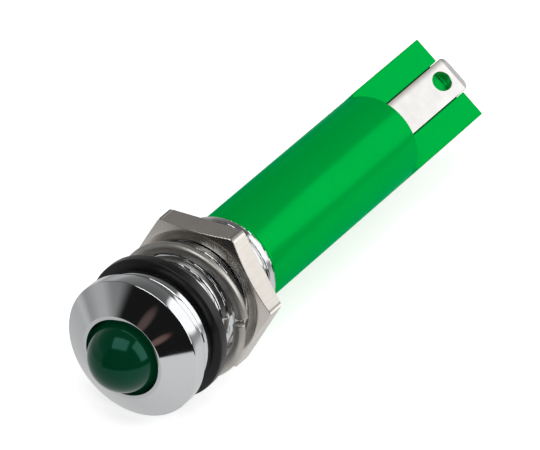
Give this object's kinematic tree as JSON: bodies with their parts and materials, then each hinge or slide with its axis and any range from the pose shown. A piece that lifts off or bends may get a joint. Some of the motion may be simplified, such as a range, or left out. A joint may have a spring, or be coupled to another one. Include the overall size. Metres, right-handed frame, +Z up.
{
  "type": "panel mount indicator light",
  "caption": "Indicator light for an 8 mm panel hole: domed green lamp in a chromed bezel on a threaded barrel, with gasket, lock washer, nut, green housing and flat tab terminals.",
  "frame": {"origin": "on the axis at the panel seat, the plane of the gasket's rear face", "axes": "+Y along the axis from the lens to the terminals, +Z up, square to a flat of the nut"},
  "size_m": [0.0116, 0.0449, 0.0107],
  "materials": {
    "bezel_chrome": "bright chrome plate on turned brass",
    "gasket_rubber": "matt black rubber",
    "washer_steel": "dull plated spring steel",
    "nut_nickel": "nickel plate with turning marks on the chamfers",
    "housing_green": "semi-gloss moulded green plastic",
    "terminal_tin": "bright tin plate on brass",
    "lens_green": "glossy diffused green epoxy",
    "lead_tin": "tinned iron",
    "chip": "polished crystal",
    "spacer_white": "plain nylon",
    "resistor_lacquer": "beige lacquer",
    "wire_tin": "tinned copper",
    "sleeve_black": "plain black sleeving",
    "solder": "tin solder"
  },
  "bodies": {
    "root": {"bezel_barrel": "bezel_chrome", "gasket": "gasket_rubber", "lock_washer": "washer_steel", "hex_nut": "nut_nickel", "housing": "housing_green", "terminal_upper": "terminal_tin", "terminal_lower": "terminal_tin", "lamp_lens": "lens_green", "lamp_cathode": "lead_tin", "lamp_anode": "lead_tin", "lamp_chip": "chip", "lamp_spacer": "spacer_white", "resistor": "resistor_lacquer", "resistor_lead_front": "wire_tin", "resistor_lead_rear": "wire_tin", "link_wire": "wire_tin", "link_sleeve": "sleeve_black", "solder_anode": "solder", "solder_cathode": "solder", "solder_terminal_upper": "solder", "solder_terminal_lower": "solder"}
  },
  "joints": []
}
